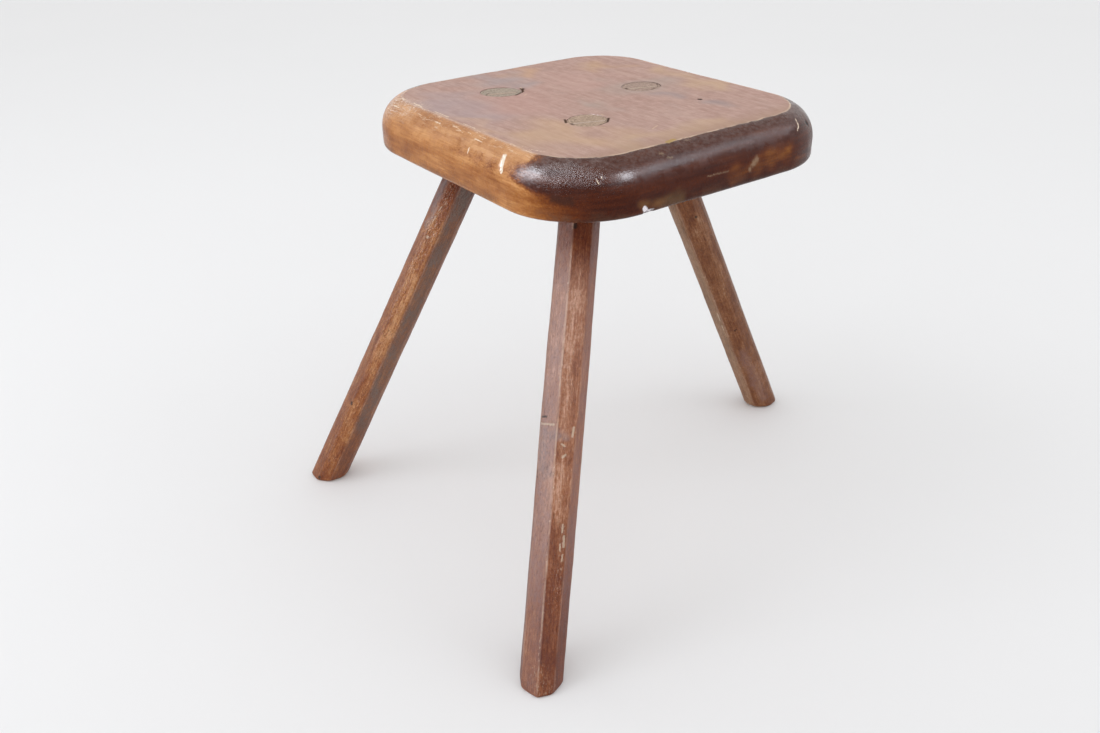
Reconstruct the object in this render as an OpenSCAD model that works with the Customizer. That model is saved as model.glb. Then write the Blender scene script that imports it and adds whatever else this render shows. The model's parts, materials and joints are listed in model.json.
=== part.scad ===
// Three-legged stool: a thick plank seat with worn, rounded edges on three splayed legs.
// Each leg is a shaved, eight-sided stick. Its round tenon passes right through the seat,
// and a thin wedge driven into a saw kerf spreads the tenon so that it can't pull out.
//
// Frame: +Z up, origin on the floor under the middle of the stool's overall box.
// The two paired legs stand on the -X side and the single leg on the +X side.
// The seat's grain runs along Y. Tenon places are measured from the middle of the seat.

/* [Seat] */
// Size of the seat along X, across the grain
seat_width = 280; // [240:1:340]
// Size of the seat along Y, with the grain
seat_length = 300; // [240:1:360]
// Thickness of the plank
seat_thickness = 40; // [32:1:55]
// Height of the sitting surface above the floor
seat_height = 385; // [300:1:450]
// Radius of the corners, seen from above
corner_radius = 67; // [40:1:85]
// How far the rounded upper edge reaches in over the top
edge_inset = 20; // [4:1:30]
// How far the rounded upper edge reaches down the side
edge_drop = 25; // [4:1:25]
// How far the lower edge is eased
lower_edge = 4; // [1:0.5:6]

/* [Joints] */
// Diameter of the round tenon at the end of each leg
tenon_diameter = 30; // [24:0.5:34]
// Gap between a tenon and its hole, all round
tenon_gap = 0.1; // [0.05:0.05:0.4]
// Direction of the wedges in plan, in degrees from +X (near enough across the grain)
wedge_turn = -20; // [-45:1:45]
// Distance of the wedge from the tenon's axis, towards -Y
wedge_offset = 4; // [0:0.5:6]
// Thickness of the wedge at the seat top
wedge_thickness = 2.6; // [1.5:0.1:4]
// Thickness of the wedge at its tip, and of the saw kerf
kerf_thickness = 1; // [0.8:0.1:1.4]
// Length of the wedge along the leg
wedge_length = 28; // [20:1:32]
// Space left between each end of the wedge and the tenon's outside
wedge_end_space = 1.2; // [0.5:0.1:3]

/* [Legs] */
// Lean of every leg away from upright, in degrees
splay = 26.8; // [15:0.1:28]
// Size across the flats of a leg just under the seat
flats_top = 30.6; // [30.6:0.1:34]
// Size across the flats of a leg at the floor
flats_foot = 32.6; // [30:0.1:38]
// Chamfer round the sole of each leg
foot_chamfer = 2; // [1:0.5:4]

/* [Left leg] */
// Place of the tenon along X
left_x = -44.9; // [-60:0.1:-30]
// Place of the tenon along Y
left_y = 63.4; // [45:0.1:75]
// Direction in which the leg splays, in degrees from +X
left_turn = 144; // [130:0.1:165]
// Size across the flats halfway down
left_flats = 31; // [30:0.1:35]
// Turn of the facets about the leg's own axis, in degrees
left_facets = -11.8; // [-22:0.1:22]

/* [Front leg] */
// Place of the tenon along X
front_x = -42.5; // [-60:0.1:-30]
// Place of the tenon along Y
front_y = -50.7; // [-75:0.1:-45]
// Direction in which the leg splays, in degrees from +X
front_turn = -138.7; // [-165:0.1:-130]
// Size across the flats halfway down
front_flats = 33; // [30:0.1:35]
// Turn of the facets about the leg's own axis, in degrees
front_facets = 17.7; // [-22:0.1:22]

/* [Right leg] */
// Place of the tenon along X
right_x = 55.8; // [45:0.1:70]
// Place of the tenon along Y
right_y = 2.4; // [-20:0.1:20]
// Direction in which the leg splays, in degrees from +X
right_turn = 1.4; // [-15:0.1:15]
// Size across the flats halfway down
right_flats = 31.3; // [30:0.1:35]
// Turn of the facets about the leg's own axis, in degrees
right_facets = 6.1; // [-22:0.1:22]

/* [Hidden] */

// Steps in each rounded stretch of the seat's edge
edge_steps = 10;
lower_steps = 3;
// Sides of a shaved leg
leg_sides = 8;
// Thickness of the slices that a leg is drawn through
slice = 0.01;
// How far a tenon runs down inside its leg, and how far a cutter runs past what it cuts
tenon_root = 6;
past = 10;

seat_underside = seat_height - seat_thickness;
reach = seat_height * tan(splay);

left_tenon = [left_x, left_y];
front_tenon = [front_x, front_y];
right_tenon = [right_x, right_y];

// Middle of each foot on the floor, from the middle of the seat
left_foot = left_tenon + reach * [cos(left_turn), sin(left_turn)];
front_foot = front_tenon + reach * [cos(front_turn), sin(front_turn)];
right_foot = right_tenon + reach * [cos(right_turn), sin(right_turn)];

// Shift that brings the middle of the feet's box over the origin
box_middle = [min(left_foot[0], front_foot[0]) + right_foot[0], left_foot[1] + front_foot[1]] / 2;

// Colours of the plank, the legs and the paler end grain of the wedges
seat_colour = [0.64, 0.42, 0.31];
leg_colour = [0.55, 0.36, 0.27];
wedge_colour = [0.74, 0.62, 0.47];

// Outline of the seat's edge: from the corner's centre line out to the rim and back
function edge_outline() = concat(
    [[0, 0]],
    [for (i = [0 : lower_steps])
        let (a = 90 * i / lower_steps)
        [corner_radius - lower_edge * (1 - sin(a)), lower_edge * (1 - cos(a))]],
    [for (i = [0 : edge_steps])
        let (a = 90 * i / edge_steps)
        [corner_radius - edge_inset * (1 - cos(a)), seat_thickness - edge_drop * (1 - sin(a))]],
    [[0, seat_thickness]]
);

// Level cut through a leaning eight-sided stick, long along the lean
function leg_outline(flats, facets) = [
    for (i = [0 : leg_sides - 1])
        let (a = 360 * (i + 0.5) / leg_sides + facets)
        let (corner = flats / 2 / cos(180 / leg_sides))
        [corner * cos(a) / cos(splay), corner * sin(a)]
];

// Angle about a leg's own axis that puts the kerf along wedge_turn on the seat top
function kerf_turn(turn) = atan2(sin(wedge_turn - turn), cos(wedge_turn - turn) * cos(splay));

// Moves children from the seat's own middle into the stool's frame
module stool_frame() {
    translate([-box_middle[0], -box_middle[1], 0])
        children();
}

// Puts children on a leg's axis: local +Z runs up the leg, local origin is on the seat top
module on_axis(tenon, turn) {
    translate([tenon[0], tenon[1], seat_height])
        rotate([0, 0, turn])
            rotate([0, -splay, 0])
                children();
}

// Level block of the given depth whose top is the seat top
module level_block(depth) {
    translate([-seat_width / 2, -seat_length / 2, seat_height - depth])
        cube([seat_width, seat_length, depth]);
}

// Straight side of the seat along local X, with its edge on the -Y side
module seat_side(run) {
    translate([-run / 2, 0, 0])
        rotate([90, 0, 90])
            linear_extrude(run)
                mirror([1, 0])
                    polygon(edge_outline());
}

// Plank with rounded corners and worn edges, standing on its own underside
module plank() {
    core_width = seat_width - 2 * corner_radius;
    core_length = seat_length - 2 * corner_radius;
    translate([-core_width / 2, -core_length / 2, 0])
        cube([core_width, core_length, seat_thickness]);
    for (side = [-1, 1]) {
        translate([0, side * core_length / 2, 0])
            rotate(side < 0 ? 0 : 180)
                seat_side(core_width);
        translate([side * core_width / 2, 0, 0])
            rotate(side < 0 ? -90 : 90)
                seat_side(core_length);
    }
    for (quarter = [0 : 3]) {
        across = quarter == 0 || quarter == 3 ? 1 : -1;
        along = quarter < 2 ? 1 : -1;
        translate([across * core_width / 2, along * core_length / 2, 0])
            rotate(90 * quarter)
                rotate_extrude(angle = 90, $fn = 96)
                    polygon(edge_outline());
    }
}

// Slanted hole through the seat for one tenon
module bore(tenon, turn) {
    on_axis(tenon, turn)
        translate([0, 0, -2 * seat_thickness])
            cylinder(d = tenon_diameter + 2 * tenon_gap, h = 3 * seat_thickness, $fn = 96);
}

// Taper of the wedge, run on above the seat top, across the whole tenon
module taper(turn, width) {
    slope = (wedge_thickness - kerf_thickness) / wedge_length;
    wide = wedge_thickness + slope * past;
    rotate(kerf_turn(turn))
        translate([0, -wedge_offset, 0])
            rotate([90, 0, 90])
                linear_extrude(width, center = true)
                    polygon([
                        [-kerf_thickness / 2, -wedge_length],
                        [kerf_thickness / 2, -wedge_length],
                        [wide / 2, past],
                        [-wide / 2, past]
                    ]);
}

// Thin level slice of a leg at height z
module leg_slice(tenon, turn, flats, facets, z) {
    lean = (seat_height - z) * tan(splay);
    translate([tenon[0] + lean * cos(turn), tenon[1] + lean * sin(turn), z])
        rotate(turn)
            linear_extrude(slice)
                polygon(leg_outline(flats, facets));
}

// Shaved stick from the floor to the seat's underside, with a chamfered sole
module stick(tenon, turn, flats_mid, facets) {
    difference() {
        union() {
            hull() {
                leg_slice(tenon, turn, flats_foot - 4 * foot_chamfer, facets, -foot_chamfer);
                leg_slice(tenon, turn, flats_foot, facets, foot_chamfer);
                leg_slice(tenon, turn, flats_mid, facets, seat_underside / 2);
            }
            hull() {
                leg_slice(tenon, turn, flats_mid, facets, seat_underside / 2);
                leg_slice(tenon, turn, flats_top, facets, seat_underside - slice);
            }
        }
        translate([-seat_height, -seat_height, -seat_height])
            cube([2 * seat_height, 2 * seat_height, seat_height]);
    }
}

// One whole leg: stick and round tenon, with the kerf that the wedge is driven into
module leg(tenon, turn, flats_mid, facets) {
    stool_frame() {
        difference() {
            union() {
                stick(tenon, turn, flats_mid, facets);
                intersection() {
                    on_axis(tenon, turn)
                        translate([0, 0, -2 * seat_thickness])
                            cylinder(d = tenon_diameter, h = 3 * seat_thickness, $fn = 96);
                    level_block(seat_thickness + tenon_root);
                }
            }
            on_axis(tenon, turn)
                taper(turn, 2 * tenon_diameter);
        }
    }
}

// One wedge, trimmed level with the seat top and a little short of the tenon at both ends
module wedge(tenon, turn) {
    stool_frame() {
        intersection() {
            on_axis(tenon, turn)
                taper(turn, 2 * tenon_diameter);
            on_axis(tenon, turn)
                translate([0, 0, -2 * seat_thickness])
                    cylinder(d = tenon_diameter - 2 * wedge_end_space, h = 3 * seat_thickness, $fn = 96);
            level_block(2 * seat_thickness);
        }
    }
}

module seat() {
    color(seat_colour)
        stool_frame()
            difference() {
                translate([0, 0, seat_underside])
                    plank();
                bore(left_tenon, left_turn);
                bore(front_tenon, front_turn);
                bore(right_tenon, right_turn);
            }
}

module leg_left() {
    color(leg_colour)
        leg(left_tenon, left_turn, left_flats, left_facets);
}

module leg_front() {
    color(leg_colour)
        leg(front_tenon, front_turn, front_flats, front_facets);
}

module leg_right() {
    color(leg_colour)
        leg(right_tenon, right_turn, right_flats, right_facets);
}

module wedge_left() {
    color(wedge_colour)
        wedge(left_tenon, left_turn);
}

module wedge_front() {
    color(wedge_colour)
        wedge(front_tenon, front_turn);
}

module wedge_right() {
    color(wedge_colour)
        wedge(right_tenon, right_turn);
}

seat();
leg_left();
leg_front();
leg_right();
wedge_left();
wedge_front();
wedge_right();
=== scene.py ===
"""Looks for the three-legged stool: a worn plank seat on three hewn legs, held by wedged tenons."""

import json
import math

import bmesh
import bpy
import numpy as np
from mathutils import Matrix, Vector, geometry, noise


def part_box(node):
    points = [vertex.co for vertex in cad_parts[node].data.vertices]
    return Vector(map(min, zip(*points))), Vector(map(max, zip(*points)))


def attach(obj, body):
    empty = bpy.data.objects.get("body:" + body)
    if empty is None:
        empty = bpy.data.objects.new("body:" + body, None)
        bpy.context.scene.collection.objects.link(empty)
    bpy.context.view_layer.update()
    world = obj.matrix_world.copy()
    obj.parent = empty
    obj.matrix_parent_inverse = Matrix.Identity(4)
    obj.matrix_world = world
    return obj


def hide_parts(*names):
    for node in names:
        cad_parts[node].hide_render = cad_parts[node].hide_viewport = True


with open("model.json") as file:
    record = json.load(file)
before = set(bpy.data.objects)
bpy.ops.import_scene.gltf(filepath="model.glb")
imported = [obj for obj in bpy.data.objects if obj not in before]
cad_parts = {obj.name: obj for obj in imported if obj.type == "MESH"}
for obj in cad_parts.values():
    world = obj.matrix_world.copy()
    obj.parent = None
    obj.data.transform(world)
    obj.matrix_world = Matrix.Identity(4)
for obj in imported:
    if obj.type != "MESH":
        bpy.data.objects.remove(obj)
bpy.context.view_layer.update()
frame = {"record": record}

MM = 0.001

# ---------------------------------------------------------------- driving sizes, in millimetres

seat_low, seat_high = (np.array(corner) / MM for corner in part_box("seat"))
SEAT_MIDDLE = (seat_low + seat_high) / 2
SEAT_TOP = seat_high[2]
SEAT_UNDER = seat_low[2]
SEAT_THICK = SEAT_TOP - SEAT_UNDER
SEAT_ORIGIN = np.array([SEAT_MIDDLE[0], SEAT_MIDDLE[1], SEAT_UNDER])
HALF = (seat_high - seat_low)[:2] / 2
CORNER = 67
CORE = HALF - CORNER
EDGE_INSET = 20
EDGE_DROP = 25
EDGE_TURN = math.radians(80)
LOWER_EDGE = 4
BORE = 15.5
TENON = 15.1
SPLAY = math.radians(26.8)
SIDES = 8
FEET = {
    mount["name"]: np.array(mount["pos_m"]) / MM
    for mount in frame["record"]["mounts"]
    if mount["name"].startswith("foot")
}

# Each leg: direction of its splay and turn of its facets in degrees, the side from which its surface
# is laid flat, size across the flats at the foot, middle and top, extra turn of single arrises at the
# foot and top in degrees, how deep and how wide its arrises are rounded, how pale single arrises are
# rubbed, how much thicker the varnish is at the foot, seed of its unevenness, and how pale and how
# greyed each of its eight facets is, from 0 to 1. The facets' paleness and greyness are partly their
# own tone and partly painted sheen, which makes the facets that face the softboxes paler and greyer.
LEGS = {
    "left": dict(
        turn=144.0, facets=-11.8, facing=78, flats=(32.6, 31.0, 30.4), turned={1: (0, -7), 2: (0, -7)},
        rounded=(0.6, 1.5), rubbed={1: 0.15, 2: 0.2}, foot=0.1, seed=11,
        pale=(0.6, 0.7, 0.4, 0.4, 0.6, 0.45, 0.6, 0.5), grey_and_sheen=(0.1, 0, 0.9, 0.2, 0.1, 0.3, 0.1, 0.2),
    ),
    "front": dict(
        turn=-138.7, facets=17.7, facing=18, flats=(32.7, 33.2, 30.6), turned={7: (8, 0), 0: (7, 12)},
        rounded=(0.3, 0.8), rubbed={7: 0.65, 0: 0.15}, foot=0.65, seed=23,
        pale=(0.45, 0.5, 0.35, 0.6, 0.45, 0.6, 0.84, 0.66), grey_and_sheen=(0.5, 0.3, 0.1, 0.2, 0.1, 0.3, 0.75, 0),
    ),
    "right": dict(
        turn=1.4, facets=6.1, facing=231, flats=(32.6, 31.4, 30.6), turned={4: (0, -5), 5: (4, 8)},
        rounded=(0.6, 1.6), rubbed={4: 0.25, 5: 0.05}, foot=0.0, seed=37,
        pale=(0.5, 0.4, 0.6, 0.95, 0.58, 0.5, 0.45, 0.6), grey_and_sheen=(0.2, 0.3, 0.1, 0.5, 0.05, 0.1, 0.2, 0.1),
    ),
}
RUBBED = 0.2  # how pale all the other arrises are rubbed
SKIN = 16.5  # radius at which a leg's surface is laid flat
WEDGE_TURN = math.radians(-20)
WEDGE_OFFSET = 4
NAIL_HOLE = np.array([63.6, -60.4])
NAIL_RADIUS = 2.2
NAIL_PIT = ((0, 1), (0.5, 0.9), (3, 0.8), (7, 0.6), (8, 0.2))  # depth, and share of the radius there

# Marks on the seat: start, end and half width of each stroke, from the middle of the underside.
CHIP = [((-131, -70.5, 35), (-135, -73.5, 30), 1.8), ((-135, -73.5, 30), (-137.5, -76, 26.5), 1.3)]
BITE = [((-69.5, -149.5, 5), (-67, -148.5, 0.8), 1.8), ((-66, -149, 1.8), (-61.5, -149, 1.2), 1.6)]
SCRATCHES = [
    ((-127, 99, 36), (-128, 88, 36), 0.5),
    ((-124, 108, 37), (-120, 100, 39), 0.5),
    ((-119, 104, 39), (-117, 95, 40), 0.5),
    ((-129, 90, 35), (-130, 84, 34), 0.5),
    ((-124, 103, 38), (-121, 108, 39), 0.4),
    ((-127, 108, 36), (-123, 96, 38.5), 0.4),
    ((-118, 80, 40), (-119, 66, 39.5), 0.6),
    ((-125, 74, 37.5), (-128, 66, 36), 0.4),
    ((-121, 62, 39), (-123, 48, 38.5), 0.4),
    ((-118, 46, 40), (-118, 26, 40), 0.45),
    ((-126, 42, 37), (-127.5, 22, 36.8), 0.5),
    ((-123, 12, 38.6), (-127, -10, 37), 0.45),
    ((-119, 2, 39.8), (-119, -14, 39.8), 0.35),
    ((-128, -28, 37), (-128, -38, 36.5), 0.4),
    ((-134, -29, 32), (-136, -30, 28), 0.55),
    ((-123, -48, 38.8), (-123.5, -60, 38.4), 0.4),
    ((-121, -64, 39.3), (-119.5, -76, 39.2), 0.45),
    ((-117, -84, 39.6), (-113, -94, 39.6), 0.4),
    ((-103, -138, 30), (-102, -140, 27), 0.35),
    ((-99, -139, 31), (-100.5, -140, 26), 0.35),
    ((90, -137, 35), (88.5, -142, 31), 0.7),
    ((88.5, -142, 31), (85, -144, 29), 0.6),
]
SCUFFS = [
    ((-138, -27, 22), (-138.5, -26, 19), 0.6),
    ((-12, -150, 15.5), (8, -150, 15), 0.6),
    ((-47.5, -138, 36), (-45.5, -139, 35.5), 1.1),
    ((-43, -142, 33), (-40, -142, 33), 0.9),
    ((-20, -133, 38), (-16, -133, 38.2), 0.8),
    ((34, -150, 15), (37, -150, 18), 2.2),
    ((30, -150, 13), (31, -150, 11), 1.2),
    ((52, -131, 39), (56, -131, 39), 0.9),
]


def on_top(strokes):
    """Strokes that lie on the flat top: x and y of the start, x and y of the end, and half width."""
    return [((x, y, SEAT_THICK), (end_x, end_y, SEAT_THICK), width) for x, y, end_x, end_y, width in strokes]


# Open joints round the tenons, and splinters beside them
GAPS = on_top([
    (-53, 51, -41, 47.3, 1.01), (-41, 47.3, -30.5, 52.5, 1.35), (-30.5, 52.5, -25.5, 60, 1.08),
    (-59, -46, -54.5, -38.5, 0.94), (-44, -66.3, -34, -64, 0.81), (-34, -64, -26.5, -56.5, 1.01),
    (56, -10.5, 60, -9.5, 0.81), (69.5, -3, 72.5, 1.5, 0.68), (41.5, 3, 42.4, 6.5, 1.22),
    (-56.3, 64, -56, 65.5, 1.62), (-26, 59.5, -25.4, 61, 2.03), (-57, -51.5, -56.5, -50.5, 1.76),
])
SPLINTERS = on_top([
    (-36, 42, -32, 44.5, 0.7), (-24.8, 62, -23.5, 66, 0.5), (-58, -57, -50, -64, 0.5),
    (-25, -48, -24, -44, 0.7), (-46, -71, -44, -74, 0.7), (-20, -99, -12, -95, 0.6),
])
# Patches of the top where the wood has taken another colour: stroke, colour and strength
STAINS = [
    ((-30, 112, -30, 82, 18), (0.37, 0.348, 0.362), 0.5),
    ((-95, 70, -95, 20, 22), (0.403, 0.342, 0.362), 0.45),
    ((6, 118, 6, 100, 12), (0.605, 0.372, 0.203), 0.4),
    ((79, 95, 79, 76, 12), (0.605, 0.396, 0.203), 0.35),
    ((104, 40, 112, -40, 12), (0.605, 0.432, 0.267), 0.45),
    ((44, -32, 62, -56, 9), (0.302, 0.27, 0.286), 0.45),
    ((66, -70, 80, -82, 9), (0.28, 0.252, 0.267), 0.5),
    ((-10, -25, -8, -20, 10), (0.358, 0.336, 0.298), 0.4),
    ((48, 6, 64, -4, 22), (0.403, 0.354, 0.318), 0.5),
    ((-82, -62, -70, -88, 24), (0.594, 0.402, 0.248), 0.5),
    ((-58, -118, 40, -120, 10), (0.56, 0.396, 0.254), 0.45),
    ((-112, -40, -112, 40, 7), (0.616, 0.408, 0.267), 0.4),
    ((-60, 10, -50, 40, 24), (0.526, 0.324, 0.286), 0.4),
    ((20, 40, 30, 60, 22), (0.538, 0.348, 0.305), 0.4),
]
# Broad parts of the seat that are worn, thinly or thickly varnished, stained or crazed
WORN_CORNER = [((-127, 106, 38), (-124, 72, 38), 11)]
WORN_STRIP = [((-126, 60, 37), (-122, -88, 38), 6)]
CRAZED = [((-121, -117, 32), (-106, -133, 31), 8)]
THIN_VARNISH = [
    ((14, -150, 10), (70, -150, 16), 6),
    ((80, -149, 12), (90, -147, 13), 2.5),
    ((-70, -150, 8), (-58, -150, 7), 5),
]
OLIVE = [((-70, -150, 8), (-40, -150, 6), 5)]
KNOT = [((-126, -123, 17), (-119, -131, 16), 3)]
WORM_HOLES = [
    ((103.8, -136.8, 30), (103.8, -136.8, 29), 1.7),
    ((71, -66, 40), (71.4, -66.4, 40), 0.5),
]
NAIL_SHADE = [((*NAIL_HOLE, 38.5), (*NAIL_HOLE, 30), 2.4)]
BARE_SPOT = [((-33, -130, 39.6), (-26, -128.5, 39.8), 1.8)]
# How deep each kind of mark is cut into the seat, and how far it reaches, in half widths
DENTS = ((CHIP, 0.8, 1.3), (BITE, 1.6, 1.5), (SCRATCHES, 0.25, 1.6), (WORM_HOLES, 0.9, 1.4))

# Marks on the legs: each stroke is measured across, across and along its leg from the foot.
LEG_MARKS = {
    "left": dict(
        pale=[
            ((7.4, 13.8, 290), (7.5, 13.7, 291), 1.0),
            ((8, 13.4, 312), (8.6, 13.0, 306), 0.5),
            ((7, 13.8, 322), (7.6, 13.4, 318), 0.5),
        ],
        dark=[((9.4, 13.4, 99), (9, 13.6, 97), 1.0), ((8, 13.8, 2), (8, 13.8, 0), 1.2)],
        amber=[((2, 15.3, 250), (1.5, 15.3, 60), 4.5)],
        dusty=[((13, 8, 345), (12, 10, 300), 3)],
        flecked=[((6.5, 14, 352), (7, 14, 262), 4.5)],
        pits=[((6, 14, 350), (7, 14, 270), 8), ((4, 15, 260), (4, 15, 20), 7)],
    ),
    "front": dict(
        pale=[
            ((7.6, -14.9, 201), (16.2, -3.2, 202), 0.8),
            ((13, 11.8, 201), (13.2, 11.2, 194), 0.8),
            ((16.6, 4.0, 188), (16.8, 6.6, 186.5), 0.7),
            ((16.6, 8.0, 180), (16.8, 5.8, 178), 0.8),
            ((14.4, 9.6, 127), (14.4, 9.8, 121), 0.7),
            ((13.4, 11.2, 118), (13.2, 11.4, 110), 0.8),
            ((13.2, 11, 104), (13.4, 10.8, 99), 0.5),
            ((14.6, 8.8, 112), (14.4, 9, 107), 0.5),
            ((9, -14.4, 168), (9.4, -14, 163), 0.5),
        ],
        dark=[
            ((8.2, -14.7, 206), (12, -9.5, 207), 0.8),
            ((8, -14.8, 166), (10, -12.8, 160), 0.6),
            ((16.9, 0.5, 366), (17, 0.5, 350), 1.4),
        ],
        amber=[((16.5, 3.5, 170), (16.5, 4.5, 130), 4), ((16.5, 4, 300), (16.5, 4, 215), 5)],
        dusty=[((9, -13, 196), (16.5, 5, 193), 4.5), ((10, -12, 186), (13, -8, 166), 6)],
        flecked=[((14, 10, 132), (13.4, 10.8, 78), 2.6), ((15, -2, 12), (15, 6, 0), 7)],
        pits=[((13, -9, 176), (13, -9, 112), 7), ((14, -8, 350), (14, -8, 220), 5)],
    ),
    "right": dict(
        pale=[((-14.8, -5.4, 164), (-15, -5.5, 153), 0.7), ((-15, -5.6, 146), (-15, -5.6, 139), 0.6)],
        dark=[
            ((-4.6, -15.4, 292), (-4.7, -15.4, 291.5), 1.2),
            ((-8, -13.9, 135), (-8.1, -13.9, 134.5), 0.9),
            ((-6.5, -14.4, 136), (-6.4, -14.4, 135.5), 0.6),
        ],
        amber=[((1, -15.6, 320), (0, -15.6, 200), 3), ((-5, -15, 70), (-6, -15, 6), 10)],
        dusty=[((-8, -13, 100), (-6, -14, 20), 5)],
        flecked=[((-14.4, -6.5, 225), (-14.6, -6, 130), 2.4)],
        pits=[((-8, -13, 300), (-8, -13, 30), 9)],
    ),
}


def smooth(low, high, value):
    t = np.clip((np.asarray(value, float) - low) / (high - low), 0, 1)
    return t * t * (3 - 2 * t)


def wobble(points, scale, seed=0):
    """Smooth noise between -1 and 1 at each point, with features about scale millimetres across."""
    shift = Vector((seed * 7.31, seed * 3.17, seed * 5.77))
    return np.array([noise.noise(Vector(p) / scale + shift) for p in points])


def flutter(*place):
    """Smooth noise between -1 and 1 at one place."""
    return noise.noise(Vector(place))


def off_strokes(points, strokes):
    """Each point's distance from the nearest stroke, in half widths of that stroke."""
    nearest = np.full(len(points), np.inf)
    for start, end, width in strokes:
        along = np.subtract(end, start).astype(float)
        gap = points - np.array(start)
        share = np.clip(gap @ along / (along @ along), 0, 1)
        nearest = np.minimum(nearest, np.linalg.norm(gap - share[:, None] * along, axis=1) / width)
    return nearest


def spread(points, strokes, soft, scale=12, shift=5):
    """1 inside any of the strokes, fading to 0 past their uneven edges."""
    shake = np.c_[wobble(points, scale, 31), wobble(points, scale, 32), wobble(points, scale, 33)]
    return smooth(1 + soft, 1 - soft, off_strokes(points + shift * shake, strokes))


# ---------------------------------------------------------------- mesh helpers


def circle(count):
    angle = np.linspace(0, 2 * math.pi, count, endpoint=False)
    return np.cos(angle), np.sin(angle)


def ring_faces(rings, around):
    """Quads between rings of the same number of points, facing outwards as the rings rise."""
    faces = []
    for r in range(rings - 1):
        for i in range(around):
            j = (i + 1) % around
            a = r * around
            faces.append((a + i, a + j, a + around + j, a + around + i))
    return faces


def flipped(faces):
    return [tuple(reversed(face)) for face in faces]


def fill(loops, spare, up=True):
    """Triangles between the first loop and the loops inside it, using the spare points."""
    points, edges, owner = [], [], []
    for number, loop in enumerate(loops):
        first = len(points)
        points += [Vector((p[0], p[1])) for p in loop]
        edges += [(first + i, first + (i + 1) % len(loop)) for i in range(len(loop))]
        owner += [number] * len(loop)
    points += [Vector((p[0], p[1])) for p in spare]
    owner += [-1] * len(spare)
    flat, _, triangles, origin, _, _ = geometry.delaunay_2d_cdt(points, edges, [], 0, 1e-5)
    owners = [owner[ids[0]] if ids else -1 for ids in origin]
    kept = []
    for triangle in triangles:
        kinds = {owners[i] for i in triangle}
        if len(kinds) == 1 and kinds.pop() > 0:
            continue
        a, b, c = (flat[i] for i in triangle)
        turn = (b - a).cross(c - a)
        if abs(turn) < 1e-9:
            continue
        kept.append(tuple(triangle) if (turn > 0) == up else tuple(reversed(triangle)))
    return np.array([(p.x, p.y) for p in flat]), kept


def grid_inside(low, high, step, inside):
    """Points of a staggered grid for which inside(points) is true."""
    xs = np.arange(low[0], high[0], step)
    ys = np.arange(low[1], high[1], step * 0.866)
    x, y = np.meshgrid(xs, ys)
    x[1::2] += step / 2
    points = np.c_[x.ravel(), y.ravel()]
    return points[inside(points)]


class Patches:
    """Collects vertices and faces, then makes one welded mesh object in metres."""

    def __init__(self):
        self.points, self.faces = [], []

    def add(self, points, faces):
        start = sum(len(p) for p in self.points)
        self.points.append(np.asarray(points, float))
        self.faces += [tuple(i + start for i in face) for face in faces]

    def build(self, name, shape):
        mesh = bpy.data.meshes.new(name)
        mesh.from_pydata(np.concatenate(self.points).tolist(), [], self.faces)
        weld(mesh)
        normals = np.zeros(len(mesh.vertices) * 3)
        mesh.vertices.foreach_get("normal", normals)
        moved = shape(mesh_points(mesh), normals.reshape(-1, 3))
        mesh.vertices.foreach_set("co", (moved * MM).ravel())
        mesh.update()
        mesh.shade_smooth()
        mesh.set_sharp_from_angle(angle=math.radians(50))
        piece = bpy.data.objects.new(name, mesh)
        bpy.context.scene.collection.objects.link(piece)
        return piece


def weld(mesh):
    bm = bmesh.new()
    bm.from_mesh(mesh)
    bmesh.ops.remove_doubles(bm, verts=bm.verts, dist=1e-3)
    bm.to_mesh(mesh)
    bm.free()
    mesh.update()


def mesh_points(mesh):
    co = np.zeros(len(mesh.vertices) * 3)
    mesh.vertices.foreach_get("co", co)
    return co.reshape(-1, 3)


def store(mesh, name, values):
    """Keeps a value or a vector on each vertex, for the materials to read."""
    values = np.asarray(values, np.float32)
    kind, field = ("FLOAT", "value") if values.ndim == 1 else ("FLOAT_VECTOR", "vector")
    mesh.attributes.new(name, kind, "POINT").data.foreach_set(field, values.ravel())


# ---------------------------------------------------------------- leg axes


class Axis:
    """A leg's centre line, and the directions across it that its cuts are measured in."""

    def __init__(self, foot, turn):
        self.foot = foot
        self.out = np.array([math.cos(turn), math.sin(turn)])
        self.side = np.array([-math.sin(turn), math.cos(turn)])

    def centre(self, z):
        return self.foot[:2] - self.out * z * math.tan(SPLAY)

    def level(self, u, v, z):
        """Places where a stick with cross-section points (u, v) meets the height z."""
        across = np.multiply.outer(u / math.cos(SPLAY), self.out) + np.multiply.outer(v, self.side)
        flat = self.centre(z) + across
        return np.c_[flat, np.full(len(flat), float(z))]

    def ring(self, radius, count, z):
        """Points where a round stick of this radius meets the height z."""
        cos, sin = circle(count)
        return self.level(radius * cos, radius * sin, z)

    def section(self, points):
        """Cross-section places (u, v) of level points (x, y) given relative to the centre line."""
        return points @ self.out * math.cos(SPLAY), points @ self.side

    def along(self, points):
        """Distances across, across and along the stick from the middle of its foot."""
        cos, sin = math.cos(SPLAY), math.sin(SPLAY)
        u = np.array([self.out[0] * cos, self.out[1] * cos, sin])
        v = np.array([self.side[0], self.side[1], 0])
        w = np.array([-self.out[0] * sin, -self.out[1] * sin, cos])
        gap = points - self.foot
        return np.c_[gap @ u, gap @ v, gap @ w]


AXES = {name: Axis(FEET["foot_" + name], math.radians(leg["turn"])) for name, leg in LEGS.items()}


# ---------------------------------------------------------------- seat

RIM_STEP = 1.3
TOP_STEP, UNDER_STEP = 2.2, 4
AROUND_BORE = 112
AROUND_NAIL = 24
BORE_RINGS = ((0.7, 100), (1.5, 84), (2.6, 64))  # distance from a bore, and number of points
CLEAR_OF_RIM, CLEAR_OF_BORE, CLEAR_OF_NAIL = 1.2, 3.4, 2


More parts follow.
